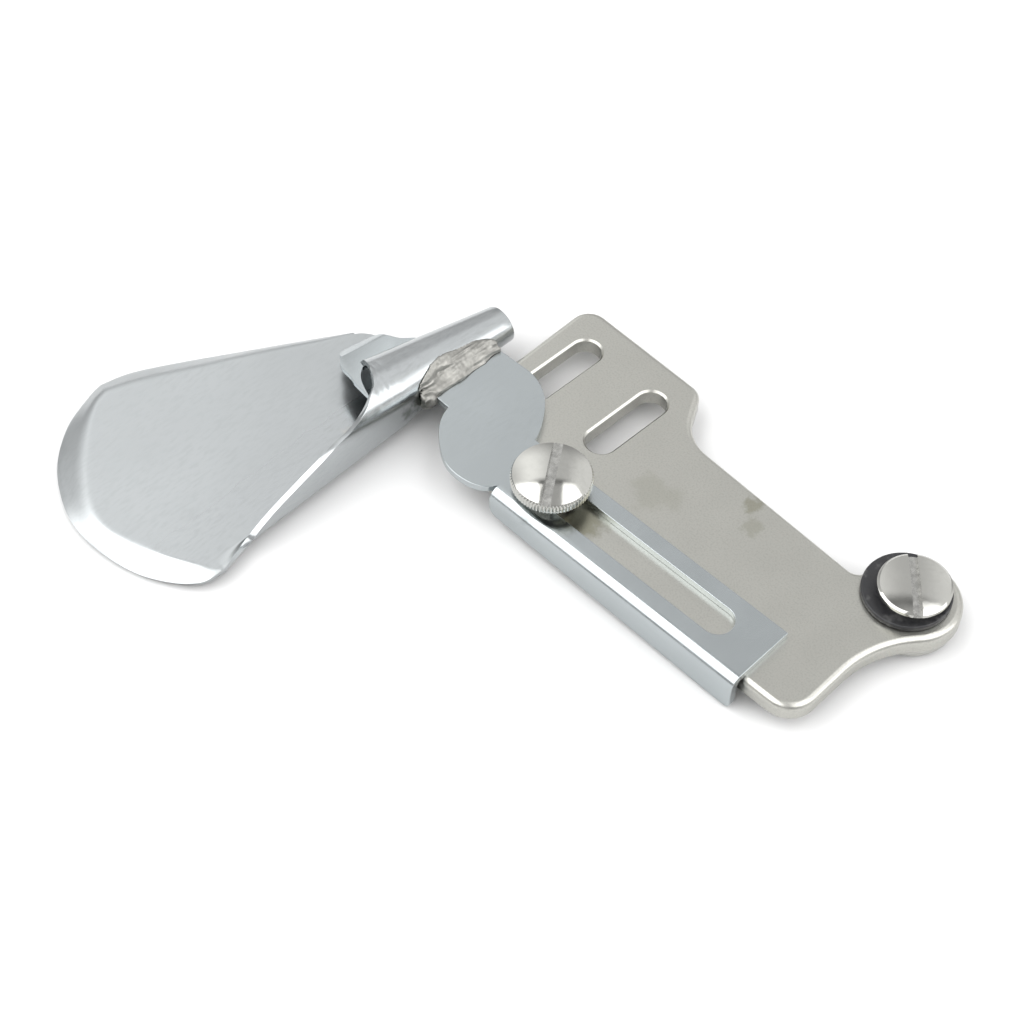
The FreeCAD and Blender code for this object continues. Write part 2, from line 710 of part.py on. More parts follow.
def onTongue(place):
    z = size["tongue_level"] + rise * (place[0] + 7.4)
    out = (flat(place) - flat(lipNear)).dot(lipOut)
    if out > 0:
        z = z - (fall - rise) * out
    return Vec(place[0], place[1], z)


def slab(edges):
    face = flatFace(edges)
    return face.extrude(Vec(0, 0, -size["tongue_sheet"] * math.hypot(1, rise)))


def tongueCurve(places):
    return curveThrough([onTongue(place) for place in places]).toShape()


def tongueLine(first, last):
    return lineEdge(onTongue(first), onTongue(last))


tip = (-2.5, -25.6)
outletFar = (-6.0, -14.1)
outletNear = (-5.5, -14.1)
notch = (-7.75, -21.8)
mainEdges = [
    tongueLine(lipNear, lipFar),
    tongueCurve([lipFar, (-9.0, -15.6), (-7.9, -15.3), (-7.0, -14.7), outletFar]),
    tongueLine(outletFar, outletNear),
    tongueLine(outletNear, (-6.8, -18.0)),
    tongueCurve([(-6.8, -18.0), (-7.2, -20.2), notch]),
    tongueCurve([notch, (-6.9, -23.0), (-5.3, -24.2), tip]),
    tongueLine(tip, (-6.5, -24.55)),
    tongueCurve([(-6.5, -24.55), (-9.0, -23.7), (-11.0, -22.75), lipNear]),
]
lipEdges = [
    tongueLine(lipNear, lipFar),
    tongueCurve([lipFar, (-11.0, -15.85), (-11.7, -16.3), (-12.0, -17.1)]),
    tongueLine((-12.0, -17.1), (-12.9, -20.1)),
    tongueCurve([(-12.9, -20.1), (-12.85, -20.9), (-12.3, -21.6), lipNear]),
]
tongueShape = slab(mainEdges).fuse(slab(lipEdges)).cut(scoopShape)
tongueShape = sorted(tongueShape.Solids, key=lambda solid: solid.Volume)[-1]
tongue = doc.addObject("Part::Feature", "guide_tongue")
tongue.Label = "guide_tongue"
tongue.Shape = tongueShape
tongue.Placement = folderPlace

# Solder bead between the tube and the ear, cut to both
coreRings = [Part.Wire(Part.Circle(Vec(-coneR(y), y, floorLow + coneR(y)),
                                   Vec(0, 1, 0), coneR(y)).toShape()) for y in (outletY, mouthY)]
core = Part.makeLoft(coreRings, True, True)
# Rows of the bead: y, how proud it stands, turn where it leaves the roll, how low it runs in the gap
beadRows = [
    (-19.7, 0.35, 113, -0.9),
    (-18.9, 0.62, 121, -1.1),
    (-17.4, 0.95, 134, -0.6),
    (-15.6, 0.88, 145, 0.1),
    (-14.0, 1.04, 147, 0.15),
    (-12.2, 0.9, 143, 0.15),
    (-10.4, 1.0, 141, 0.15),
    (-8.9, 0.9, 138, 0.15),
    (-7.8, 0.95, 131, 0.15),
    (-7.0, 0.45, 117, 0.2),
]
beadWires = []
for y, swell, turn, low in beadRows:
    crest = conePoint(y, turn)
    ridge = Vec(0.1, y, sheetB + 1.4 * swell)
    middle = (crest + ridge) / 2
    points = [
        Vec(-0.9, y, low),
        crest + Vec(-0.5, 0, -0.45),
        crest + Vec(0, 0, 0.02),
        middle + Vec(0.12, 0, 0.12),
        ridge,
        Vec(0.6 + 1.15 * swell, y, sheetB - 0.05),
        Vec(0.3 + 0.5 * swell, y, low),
    ]
    ring = Part.BSplineCurve()
    ring.interpolate(Points=points, PeriodicFlag=True)
    beadWires.append(Part.Wire(ring.toShape()))
beadShape = Part.makeLoft(beadWires, True, False)
ear = bracket.Shape.translated(Vec(-nearX, 0, 0))
beadShape = beadShape.cut(core).cut(ear).cut(scoopShape)
beadShape = sorted(beadShape.Solids, key=lambda solid: solid.Volume)[-1]
bead = doc.addObject("Part::Feature", "solder_bead")
bead.Label = "solder_bead"
bead.Shape = beadShape
bead.Placement = folderPlace

doc.recompute()
for thing in doc.Objects:
    if "Invalid" in thing.State or "Error" in thing.State:
        raise RuntimeError(thing.Name + " did not build")
pieces = [plate, bracket, scoop, tongue, bead, thumb, pivot, washer, nut]
for piece in pieces:
    shape = piece.Shape
    if shape.isNull() or not shape.isValid() or len(shape.Solids) != 1:
        raise RuntimeError(piece.Label + " is not one sound solid")
    print(piece.Label, round(shape.Volume, 2), [round(v, 2) for v in (
        shape.BoundBox.XMin, shape.BoundBox.XMax, shape.BoundBox.YMin, shape.BoundBox.YMax,
        shape.BoundBox.ZMin, shape.BoundBox.ZMax)])
    shape.exportStep("parts/" + piece.Label + ".step")
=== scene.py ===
import math

import bmesh
import bpy
from mathutils import Matrix, Vector, noise


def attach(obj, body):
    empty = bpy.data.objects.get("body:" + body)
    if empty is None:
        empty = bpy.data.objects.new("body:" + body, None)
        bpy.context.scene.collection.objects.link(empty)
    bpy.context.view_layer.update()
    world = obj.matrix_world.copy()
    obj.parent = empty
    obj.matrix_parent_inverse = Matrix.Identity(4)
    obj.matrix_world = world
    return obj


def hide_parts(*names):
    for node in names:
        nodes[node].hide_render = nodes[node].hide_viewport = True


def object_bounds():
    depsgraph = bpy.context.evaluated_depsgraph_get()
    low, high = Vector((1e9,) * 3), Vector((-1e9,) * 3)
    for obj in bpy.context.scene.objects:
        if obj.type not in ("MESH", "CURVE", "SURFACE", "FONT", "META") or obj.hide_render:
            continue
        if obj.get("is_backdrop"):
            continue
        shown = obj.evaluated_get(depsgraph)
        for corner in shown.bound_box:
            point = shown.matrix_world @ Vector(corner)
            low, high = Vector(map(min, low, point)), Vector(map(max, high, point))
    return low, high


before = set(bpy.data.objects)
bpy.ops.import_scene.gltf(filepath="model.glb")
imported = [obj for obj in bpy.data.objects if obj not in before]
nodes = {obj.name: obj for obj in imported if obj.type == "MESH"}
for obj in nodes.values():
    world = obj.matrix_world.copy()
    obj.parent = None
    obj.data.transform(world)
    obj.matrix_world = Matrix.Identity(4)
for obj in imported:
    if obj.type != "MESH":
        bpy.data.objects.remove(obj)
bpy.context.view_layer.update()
mm = 0.001

# Camera, fitted to the photograph: places in mm in the part's frame
picture = {
    "cameraAt": (65.79, -139.29, 205.53),
    "cameraTo": (-40.955, -23.744, 0.0),
    "cameraRoll": 1.963,
    "lens": 77.34,
    "sensor": 36.0,
    "clip": (0.01, 10.0),
}


def makeCamera():
    data = bpy.data.cameras.new("camera")
    data.lens = picture["lens"]
    data.sensor_width = picture["sensor"]
    data.clip_start, data.clip_end = picture["clip"]
    camera = bpy.data.objects.new("camera", data)
    bpy.context.scene.collection.objects.link(camera)
    eye = Vector(picture["cameraAt"]) * mm
    ahead = (Vector(picture["cameraTo"]) * mm - eye).normalized()
    side = ahead.cross(Vector((0, 0, 1))).normalized()
    up = side.cross(ahead)
    roll = math.radians(picture["cameraRoll"])
    right = side * math.cos(roll) + up * math.sin(roll)
    top = up * math.cos(roll) - side * math.sin(roll)
    turn = Matrix((right, top, -ahead)).transposed().to_4x4()
    camera.matrix_world = Matrix.Translation(eye) @ turn
    bpy.context.scene.camera = camera


makeCamera()
print("stage: camera")


# Shader maths: a socket that adds, multiplies and mixes like a number
class Sock:
    def __init__(self, tree, socket):
        self.tree = tree
        self.socket = socket

    def make(self, kind, inputs=(), output=0, **settings):
        node = self.tree.nodes.new(kind)
        for name, value in settings.items():
            setattr(node, name, value)
        for key, value in dict(inputs).items():
            if isinstance(value, Sock):
                self.tree.links.new(value.socket, node.inputs[key])
            elif value is not None:
                node.inputs[key].default_value = value
        return Sock(self.tree, node.outputs[output])

    def maths(self, operation, first, second=None):
        return self.make("ShaderNodeMath", {0: first, 1: second}, operation=operation)

    def __add__(self, other):
        return self.maths("ADD", self, other)

    def __radd__(self, other):
        return self.maths("ADD", other, self)

    def __sub__(self, other):
        return self.maths("SUBTRACT", self, other)

    def __rsub__(self, other):
        return self.maths("SUBTRACT", other, self)

    def __mul__(self, other):
        return self.maths("MULTIPLY", self, other)

    def __rmul__(self, other):
        return self.maths("MULTIPLY", other, self)

    def __abs__(self):
        return self.maths("ABSOLUTE", self)

    def ramp(self, low, high, first=0.0, last=1.0):
        keys = {"Value": self, "From Min": low, "From Max": high, "To Min": first, "To Max": last}
        return self.make("ShaderNodeMapRange", keys, interpolation_type="SMOOTHSTEP")

    def mix(self, first, last):
        return self.make("ShaderNodeMix", {0: self, 6: first, 7: last}, output=2, data_type="RGBA")

    def shift(self, amount):
        return self.make("ShaderNodeVectorMath", {0: self, 1: amount}, operation="ADD")

    def stretch(self, amount):
        return self.make("ShaderNodeVectorMath", {0: self, 1: amount}, operation="MULTIPLY")

    def along(self, way):
        return self.make("ShaderNodeVectorMath", {0: self, 1: way}, output=1, operation="DOT_PRODUCT")

    def farFrom(self, place):
        return self.make("ShaderNodeVectorMath", {0: self, 1: place}, output=1, operation="DISTANCE")

    def clouds(self, size, detail=3.0, rough=0.5):
        keys = {"Vector": self, "Scale": 1 / (size * mm), "Detail": detail, "Roughness": rough}
        return self.make("ShaderNodeTexNoise", keys)

    def feed(self, shader, name):
        self.tree.links.new(self.socket, shader.inputs[name])


def newMaterial(name):
    material = bpy.data.materials.new(name)
    material.use_nodes = True
    tree = material.node_tree
    shader = tree.nodes["Principled BSDF"]
    place = tree.nodes.new("ShaderNodeTexCoord")
    return material, shader, Sock(tree, place.outputs["Object"])


def paler(colour, amount):
    return tuple(min(1.0, part * amount) for part in colour) + (1.0,)


# Worn metal: slow clouds in the tone, fine grain in tone and height, marks at given places: each a real
# stain, a patch of painted shade or a painted reflection.
# A mark is x, y, z and radius in mm, the colour that it leaves and its strength
def metal(name, looks, stainsAndPaintedLight=()):
    material, shader, point = newMaterial(name)
    cloud = point.clouds(looks["cloud"]).ramp(0.3, 0.7)
    grain = point.stretch(looks["grainWay"]).clouds(looks["grain"], 2.0)
    pale = paler(looks["colour"], 1 + looks["cloudTone"])
    tone = cloud.mix(paler(looks["colour"], 1 - looks["cloudTone"]), pale)
    tone = grain.ramp(0.4, 0.75).mix(tone, paler(looks["colour"], 1 - looks["speckTone"]))
    # Each mark mixes its colour in over a wobbly disc; some are real stain, some painted shade, one a
    # painted reflection
    for x, y, z, radius, colour, strength in stainsAndPaintedLight:
        away = point.farFrom((x * mm, y * mm, z * mm))
        wobble = point.clouds(radius * 0.9, 4.0, 0.6).ramp(0.2, 0.8, -0.5, 0.5) * (radius * mm)
        mask = (away + wobble).ramp(radius * 0.45 * mm, radius * 1.25 * mm, strength, 0.0)
        tone = mask.mix(tone, colour + (1.0,))
    tone.feed(shader, "Base Color")
    gloss = point.clouds(looks["cloud"] * 0.4, 4.0).ramp(0.3, 0.7, looks["rough"][0], looks["rough"][1])
    if "polish" in looks:  # a stretch along X that is smoother than the rest
        first, last, factor = looks["polish"]
        gloss = gloss * point.along((1.0, 0.0, 0.0)).ramp(first * mm, last * mm, 1.0, factor)
    gloss.feed(shader, "Roughness")
    shader.inputs["Metallic"].default_value = 1.0
    keys = {"Height": grain, "Strength": looks["grainStrength"], "Distance": looks["grainDeep"] * mm}
    grain.make("ShaderNodeBump", keys).feed(shader, "Normal")
    return material


plateLooks = {
    "colour": (0.49, 0.487, 0.452), "cloud": 12.0, "cloudTone": 0.015, "speckTone": 0.12,
    "grainWay": (1.0, 1.0, 1.0), "grain": 0.22, "grainStrength": 0.6, "grainDeep": 0.012,
    "rough": (0.28, 0.31),
}
sheetLooks = {
    "colour": (0.435, 0.468, 0.478), "cloud": 14.0, "cloudTone": 0.02, "speckTone": 0.02,
    "grainWay": (1.0, 0.25, 1.0), "grain": 0.5, "grainStrength": 0.25, "grainDeep": 0.008,
    "rough": (0.2, 0.27),
}
# The scoop is smoother from the tube to its mouth: where the polish starts and ends on X, and its factor
scoopLooks = {
    "colour": (0.445, 0.465, 0.472), "cloud": 14.0, "cloudTone": 0.02, "speckTone": 0.05,
    "grainWay": (1.0, 0.25, 1.0), "grain": 0.35, "grainStrength": 0.25, "grainDeep": 0.008,
    "rough": (0.29, 0.36), "polish": (-70.0, -66.5, 0.62),
}
screwLooks = {
    "colour": (0.51, 0.508, 0.48), "cloud": 5.0, "cloudTone": 0.03, "speckTone": 0.03,
    "grainWay": (1.0, 1.0, 1.0), "grain": 0.6, "grainStrength": 0.25, "grainDeep": 0.01,
    "rough": (0.06, 0.11),
}
# Driver slot walls: darker than the heads, which is painted shade in the slot; the patchy tone and roughness
# are the finish
slotShadeLooks = {
    "colour": (0.43, 0.428, 0.41), "cloud": 0.9, "cloudTone": 0.25, "speckTone": 0.03,
    "grainWay": (1.0, 1.0, 1.0), "grain": 0.6, "grainStrength": 0.25, "grainDeep": 0.01,
    "rough": (0.12, 0.3),
}
solderLooks = {
    "colour": (0.33, 0.326, 0.306), "cloud": 1.1, "cloudTone": 0.15, "speckTone": 0.2,
    "grainWay": (1.0, 0.3, 1.0), "grain": 0.5, "grainStrength": 0.6, "grainDeep": 0.05,
    "rough": (0.42, 0.58),
}

olive = (0.2, 0.19, 0.11)
# A dark brown for painted shade, and for flux residue under the ear
fluxAndShadeBrown = (0.07, 0.08, 0.065)
# A warm pale grey for a painted reflection
reflectionWarmGrey = (0.6, 0.54, 0.47)
# Olive marks on the plate: the first three are real stain, the last is painted shade
plateStainsAndShade = [
    (-21.4, -2.8, 0.0, 1.3, olive, 0.45),
    (-19.6, -5.4, 0.0, 1.5, olive, 0.25),
    (-31.0, -9.5, 0.0, 3.0, olive, 0.16),
    # Painted shade: a dark olive patch beside the thumb screw, where its head shades the plate in the
    # bracket's slot
    (-34.2, -18.2, 0.0, 2.6, olive, 0.55),
]
# Painted shade: a dark brown patch on the bracket's strip just in front of the thumb screw's head, where the
# head shades it
sheetPaintedShade = [(-38.5, -22.3, 1.0, 1.8, fluxAndShadeBrown, 0.3)]
# Marks on the scoop: painted shade in the mouth, flux with painted shade under the ear, and a painted
# reflection
scoopShadeFluxAndReflection = [
    # Painted shade inside the tube's mouth, darkening the hole
    (-62.2, -21.4, -0.2, 2.0, fluxAndShadeBrown, 0.6),
    # Darker on the tube's near side under the ear: painted shade there, with flux residue
    (-60.9, -19.4, 0.2, 1.7, fluxAndShadeBrown, 0.75),
    # Painted reflection: a pale warm patch on the scroll's near side by the mouth
    (-63.6, -27.2, -0.8, 2.0, reflectionWarmGrey, 0.45),
]
# Darker at the bead's near end under the ear: painted shade there, with flux residue
solderShadeAndFlux = [(-61.0, -19.2, 0.3, 1.6, fluxAndShadeBrown, 0.7)]

plateMetal = metal("plated_steel", plateLooks, plateStainsAndShade)
sheetMetal = metal("satin_steel", sheetLooks, sheetPaintedShade)
scoopMetal = metal("satin_scoop", scoopLooks, scoopShadeFluxAndReflection)
screwMetal = metal("plated_screw", screwLooks)
solderMetal = metal("solder", solderLooks, solderShadeAndFlux)
slotShadedMetal = metal("screw_slot_painted_shade", slotShadeLooks)

rubberLooks = {
    "colour": (0.016, 0.016, 0.018), "dust": (0.06, 0.06, 0.06), "dustCloud": 1.4,
    "rough": (0.32, 0.55), "grain": 0.35, "grainStrength": 0.4, "grainDeep": 0.03,
}


def makeRubber():
    material, shader, point = newMaterial("black_rubber")
    grain = point.clouds(rubberLooks["grain"], 3.0)
    dusty = point.clouds(rubberLooks["dustCloud"], 4.0).ramp(0.55, 0.75)
    dusty.mix(rubberLooks["colour"] + (1.0,), rubberLooks["dust"] + (1.0,)).feed(shader, "Base Color")
    grain.ramp(0.3, 0.7, rubberLooks["rough"][0], rubberLooks["rough"][1]).feed(shader, "Roughness")
    deep = rubberLooks["grainDeep"] * mm
    keys = {"Height": grain, "Strength": rubberLooks["grainStrength"], "Distance": deep}
    grain.make("ShaderNodeBump", keys).feed(shader, "Normal")
    return material


rubber = makeRubber()
print("stage: materials")


# Every finished mesh goes through here: it is linked, painted and tied to its body
def addPiece(name, mesh, material, body, node):
    piece = bpy.data.objects.new(name, mesh)
    bpy.context.scene.collection.objects.link(piece)
    mesh.materials.clear()
    mesh.materials.append(material)
    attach(piece, body)
    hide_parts(node)
    return piece


def smoothAll(mesh):
    for face in mesh.polygons:
        face.use_smooth = True


# The result of a piece's modifiers becomes its mesh
def settle(piece):
    graph = bpy.context.evaluated_depsgraph_get()
    mesh = bpy.data.meshes.new_from_object(piece.evaluated_get(graph))
    piece.modifiers.clear()
    piece.data = mesh


def evenShading(piece):
    weighted = piece.modifiers.new("even", "WEIGHTED_NORMAL")
    weighted.keep_sharp = False


# A sheet or turned part with its sharp edges broken, so that they catch the light
def breakEdges(name, node, material, body, edge):
    mesh = nodes[node].data.copy()
    shape = bmesh.new()
    shape.from_mesh(mesh)
    bmesh.ops.remove_doubles(shape, verts=shape.verts, dist=0.002 * mm)
    bmesh.ops.dissolve_limit(shape, angle_limit=math.radians(0.4), verts=shape.verts, edges=shape.edges)
    sharp = math.radians(edge["angle"])
    edges = [e for e in shape.edges if len(e.link_faces) == 2 and e.calc_face_angle(0.0) > sharp]
    bmesh.ops.bevel(shape, geom=edges, offset=edge["width"] * mm, offset_type="OFFSET",
                    segments=edge["steps"], profile=0.5, affect="EDGES", clamp_overlap=True)
    shape.to_mesh(mesh)
    shape.free()
    smoothAll(mesh)
    evenShading(addPiece(name, mesh, material, body, node))


# Widths in mm and the least angle, in degrees, of an edge that is broken
sheetEdge = {"width": 0.22, "steps": 3, "angle": 62.0}
screwEdge = {"width": 0.08, "steps": 2, "angle": 35.0}
washerEdge = {"width": 0.2, "steps": 3, "angle": 50.0}

breakEdges("sliding_bracket", "folder_bracket", sheetMetal, "folder", sheetEdge)
breakEdges("tongue_sheet", "guide_tongue", sheetMetal, "folder", sheetEdge)
breakEdges("pivot_nut_turned", "pivot_nut", screwMetal, "pivot", screwEdge)
breakEdges("washer_ring", "pivot_washer", rubber, "pivot", washerEdge)
nodes["base_plate"].data.materials.clear()
nodes["base_plate"].data.materials.append(plateMetal)
print("stage: bracket, tongue, pivot")

# Scoop: the upper face of one bent sheet, in mm, with X = 0 on the near side of its tube
scoop = {
    "nearX": -60.6, "sheet": 0.7, "floorLow": -3.0, "rimDrop": 1.5,
    "outletR": 2.52, "growth": 0.0875, "outletY": -3.2, "startY": -14.0, "mouthY": -22.1,
    "wrapEnd": 246.0, "closes": 345.0, "bendR": 1.1, "softBend": 0.9,
    "floorColumns": 4, "bendColumns": 12, "wallColumns": 28, "tubeRows": 8, "closeColumns": 14,
    "edge": 0.28, "edgeSteps": 4, "edgeAngle": 50.0,
}
# Rows of the mouth from the roll out to the border: distance down the feed at the foot and at the
# free edge, turn of the bend, share of it, straight wall (None where it reaches the roll), turn at the edge
mouthRows = [
    (0.0, 0.0, 90, 1, None, 246.0), (0.8, 0.2, 90, 1, None, 231.0), (1.7, 0.55, 90, 1, None, 213.0),
    (2.7, 1.1, 90, 1, None, 194.0), (3.5, 1.55, 90, 1, None, 182.0), (4.4, 2.1, 90, 1, None, 168.0),
    (5.3, 2.8, 90, 1, None, 154.7), (6.3, 3.8, 90, 1, None, 144.5), (8.1, 5.8, 90, 1, None, 126.0),
    (10.5, 8.5, 90, 1, None, 110.0), (12.7, 11.1, 90, 1, None, 102.0), (15.1, 13.8, 90, 1, None, 90.0),
    (17.6, 16.6, 90, 1, 3.4, 90), (20.1, 19.4, 90, 1, 2.5, 90), (21.9, 21.35, 90, 1, 1.8, 90),
    (23.9, 23.5, 88, 1, 0.95, 90), (26.0, 25.8, 50, 0.64, 0.3, 90), (27.4, 27.3, 25, 0.64, 0.28, 90),
    (28.8, 28.8, 9, 0.7, 0.35, 90), (30.1, 30.1, 0, 0.75, 0.5, 90),
]
floorTop = scoop["floorLow"] + scoop["sheet"]


def tubeR(y):
    return scoop["outletR"] + scoop["growth"] * (scoop["outletY"] - y)


def tubePoint(y, turn):
    big = tubeR(y)
    inner = big - scoop["sheet"]
    angle = math.radians(turn)
    return Vector((inner * math.sin(angle) - big, y, scoop["floorLow"] + big - inner * math.cos(angle)))


# A point at a distance along the sheet's section, which is made of legs of (length, turn)
def alongSection(y, legs, run):
    x = -tubeR(y)
    z = scoop["floorLow"]
    way = 0.0
    for length, turn in legs:
        part = min(run, length)
        if abs(turn) < 1e-9:
            x = x + part * math.cos(way)
            z = z + part * math.sin(way)
        else:
            radius = length / turn
            ahead = way + part / radius
            x = x + radius * (math.sin(ahead) - math.sin(way))
            z = z + radius * (math.cos(way) - math.cos(ahead))
            way = ahead
        run = run - part
        if run < 1e-9:
            break
    return Vector((x - scoop["sheet"] * math.sin(way), y, z + scoop["sheet"] * math.cos(way)))


def mouthRow(foot, edge, bend, bendShare, wall, edgeTurn):
    floors, bends, walls = scoop["floorColumns"], scoop["bendColumns"], scoop["wallColumns"]
    arc = scoop["bendR"] * math.pi / 2 * bendShare
    roll = math.radians(edgeTurn - 90)
    points = []
    for column in range(floors + bends + walls + 1):
        y = scoop["mouthY"] - foot - (edge - foot) * column / (floors + bends + walls)
        big = tubeR(y)
        reach = big - scoop["bendR"]
        straight = reach if wall is None else wall
        if column <= floors:
            run = reach * column / floors
        elif column <= floors + bends:
            run = reach + arc * (column - floors) / bends
        else:
            run = reach + arc + (straight + big * roll) * (column - floors - bends) / walls
        legs = [(reach, 0.0), (arc, math.radians(bend)), (straight, 0.0), (big * roll, roll)]
        points.append(alongSection(y, legs, run))
    return points


# A smooth curve through points, as a Catmull-Rom spline
def between(before, first, last, after, share):
    return 0.5 * (2 * first + (last - before) * share
                  + (2 * before - 5 * first + 4 * last - after) * share ** 2
                  + (3 * first - before - 3 * last + after) * share ** 3)


def smoothRows(rows, steps):
    padded = [rows[0]] + rows + [rows[-1]]
    result = []
    for index in range(1, len(rows)):
        for step in range(steps):
            share = step / steps
            group = padded[index - 1], padded[index], padded[index + 1], padded[index + 2]
            result.append([between(*points, share) for points in zip(*group)])
    result.append(rows[-1])
    return result


# Points spaced evenly along a smooth curve through places
def evenPath(places, count):
    line = [row[0] for row in smoothRows([[Vector(place)] for place in places], 24)]
    lengths = [0.0]
    for first, last in zip(line, line[1:]):
        lengths.append(lengths[-1] + (last - first).length)
    points = []
    index = 0
    for step in range(count + 1):
        goal = lengths[-1] * step / count
        while index < len(line) - 2 and lengths[index + 1] < goal:
            index += 1
        span = lengths[index + 1] - lengths[index]
        points.append(line[index].lerp(line[index + 1], (goal - lengths[index]) / max(span, 1e-9)))
    return points


rows = [mouthRow(*row) for row in mouthRows]
columns = len(rows[0]) - 1
tubeStart = [tubePoint(scoop["startY"], scoop["wrapEnd"] * c / columns) for c in range(columns + 1)]
tubeEnd = [tubePoint(scoop["outletY"], scoop["wrapEnd"] * c / columns) for c in range(columns + 1)]


def straightRows(first, last, steps):
    return [[a.lerp(b, step / steps) for a, b in zip(first, last)] for step in range(steps)]


mouthSheet = straightRows(tubeEnd, tubeStart, scoop["tubeRows"])
mouthSheet += straightRows(tubeStart, rows[0], 10) + smoothRows(rows, 4)

# The rest of the way round the tube, past the mouth
closing = []
for step in range(scoop["tubeRows"] + 1):
    y = scoop["outletY"] + (scoop["startY"] - scoop["outletY"]) * step / scoop["tubeRows"]
    steps = range(scoop["closeColumns"] + 1)
    span = scoop["closes"] - scoop["wrapEnd"]
    turns = [scoop["wrapEnd"] + span * c / scoop["closeColumns"] for c in steps]
    closing.append([tubePoint(y, turn) for turn in turns])

# Bend line between floor and rim, and the outer edge of the rim: far side, tip, near side
rimLow = floorTop - scoop["rimDrop"]
bendFar = [(-15.75, -16.15), (-18.5, -20.9), (-22.3, -27.8), (-25.1, -33.7), (-28.0, -39.3), (-30.35, -44.6)]
rimFar = [(-19.7, -20.1), (-23.7, -26.7), (-28.3, -34.3), (-31.3, -39.8), (-32.4, -43.7)]
bendNear = [(-30.35, -44.6), (-29.76, -46.83), (-27.62, -49.82), (-24.97, -52.5), (-22.5, -54.7),
            (-19.47, -56.82), (-16.1, -58.3), (-13.4, -58.6), (-10.8, -58.1), (-8.0, -57.2),
            (-5.4, -56.2), (-3.1, -55.0), (-1.2, -53.8)]
rimNear = [(-32.4, -43.7), (-31.9, -46.0), (-29.9, -51.0), (-25.9, -55.8), (-20.6, -59.0),
           (-16.0, -60.2), (-11.0, -60.1), (-6.6, -59.1)]
rimEnd = [(-3.0, -57.4, 1.2), (-0.66, -55.7, 0.75), (0.4, -54.3, 0.3)]
borderEnd = rows[-1][-1]


def level(places, z):
    return [Vector((x, y, z)) for x, y in places]


farBend = evenPath(level(bendFar, floorTop), 60)
farRim = evenPath([Vector((-16.1, -16.0, floorTop - 0.6))] + level(rimFar, rimLow), 60)
nearBend = evenPath(level(bendNear, floorTop) + [borderEnd], 90)
risen = [Vector((x, y, floorTop - drop)) for x, y, drop in rimEnd]
nearRim = evenPath(level(rimNear, rimLow) + risen + [borderEnd], 90)
bendLine = farBend + nearBend[1:]
rimLine = farRim + nearRim[1:]


# Across the rim: a soft bend that leaves the floor level, then straight to the edge
def rimSection(bend, rim):
    flatWay = Vector((rim.x - bend.x, rim.y - bend.y, 0))
    width = flatWay.length
    if width < 0.02:  # floor and rim meet at the border's end
        return [bend.copy() for _ in range(11)]
    soft = min(scoop["softBend"], 0.7 * width)
    start = bend - flatWay * (soft / width)
    end = bend.lerp(rim, min(0.7, soft / width))
    points = [bend - flatWay * (1.4 * soft / width)]
    for step in range(7):
        share = step / 6
        points.append(start * (1 - share) ** 2 + bend * (2 * share * (1 - share)) + end * share ** 2)
    for step in range(1, 4):
        points.append(end.lerp(rim, step / 3))
    return points


rimSheet = [rimSection(bend, rim) for bend, rim in zip(bendLine, rimLine)]
outlet = level([(-14.7, -15.4), (-13.2, -14.5), (-11.0, -14.05), (-8.5, -14.0)], floorTop)
outletEdge = evenPath([rimSheet[0][0]] + outlet + [tubePoint(scoop["startY"], 0)], 24)
floorEdge = [row[0] for row in rimSheet][::-1] + outletEdge[1:]
floorEdge += [row[0] for row in mouthSheet[scoop["tubeRows"] + 1:]] + mouthSheet[-1][1:-1]


def addGrid(shape, grid):
    made = []
    for row in grid:
        made.append([shape.verts.new(point * mm) for point in row])
    for first, last in zip(made, made[1:]):
        for column in range(len(first) - 1):
            shape.faces.new((first[column], first[column + 1], last[column + 1], last[column]))


def makeScoop():
    shape = bmesh.new()
    addGrid(shape, mouthSheet)
    addGrid(shape, closing)
    addGrid(shape, rimSheet)
    border = [shape.verts.new(point * mm) for point in floorEdge]
    shape.faces.new(border)
    bmesh.ops.remove_doubles(shape, verts=shape.verts, dist=0.004 * mm)
    bmesh.ops.recalc_face_normals(shape, faces=shape.faces)
    floorFace = max(shape.faces, key=lambda face: face.calc_area())
    if floorFace.normal.z < 0:
        bmesh.ops.reverse_faces(shape, faces=shape.faces)
    bmesh.ops.translate(shape, verts=shape.verts, vec=(scoop["nearX"] * mm, 0, 0))
    mesh = bpy.data.meshes.new("scoop_sheet")
    shape.to_mesh(mesh)
    shape.free()
    smoothAll(mesh)
    piece = addPiece("scoop_sheet", mesh, scoopMetal, "folder", "scoop")
    solid = piece.modifiers.new("sheet", "SOLIDIFY")
    solid.thickness = scoop["sheet"] * mm
    solid.offset = -1.0
    solid.use_even_offset = True
    solid.use_quality_normals = True
    bevel = piece.modifiers.new("edge", "BEVEL")
    bevel.width = scoop["edge"] * mm
    bevel.segments = scoop["edgeSteps"]
    bevel.limit_method = "ANGLE"
    bevel.angle_limit = math.radians(scoop["edgeAngle"])
    evenShading(piece)


makeScoop()
print("stage: scoop")

# Thumb screw: turned head with a straight knurl, a domed top and a driver slot
thumb = {
    "at": (-39.4, -18.75), "tip": -2.7, "shankR": 1.97, "seat": 1.0, "collarR": 3.2,
    "collarTop": 2.6, "headR": 4.95, "bandTop": 4.2, "dome": 0.85, "rimR": 4.7,
    "ridges": 72, "ridgeDeep": 0.16, "perRidge": 8,
    "slot": 1.2, "slotDeep": 1.0, "slotTurn": 124.3, "edge": 0.1,
}


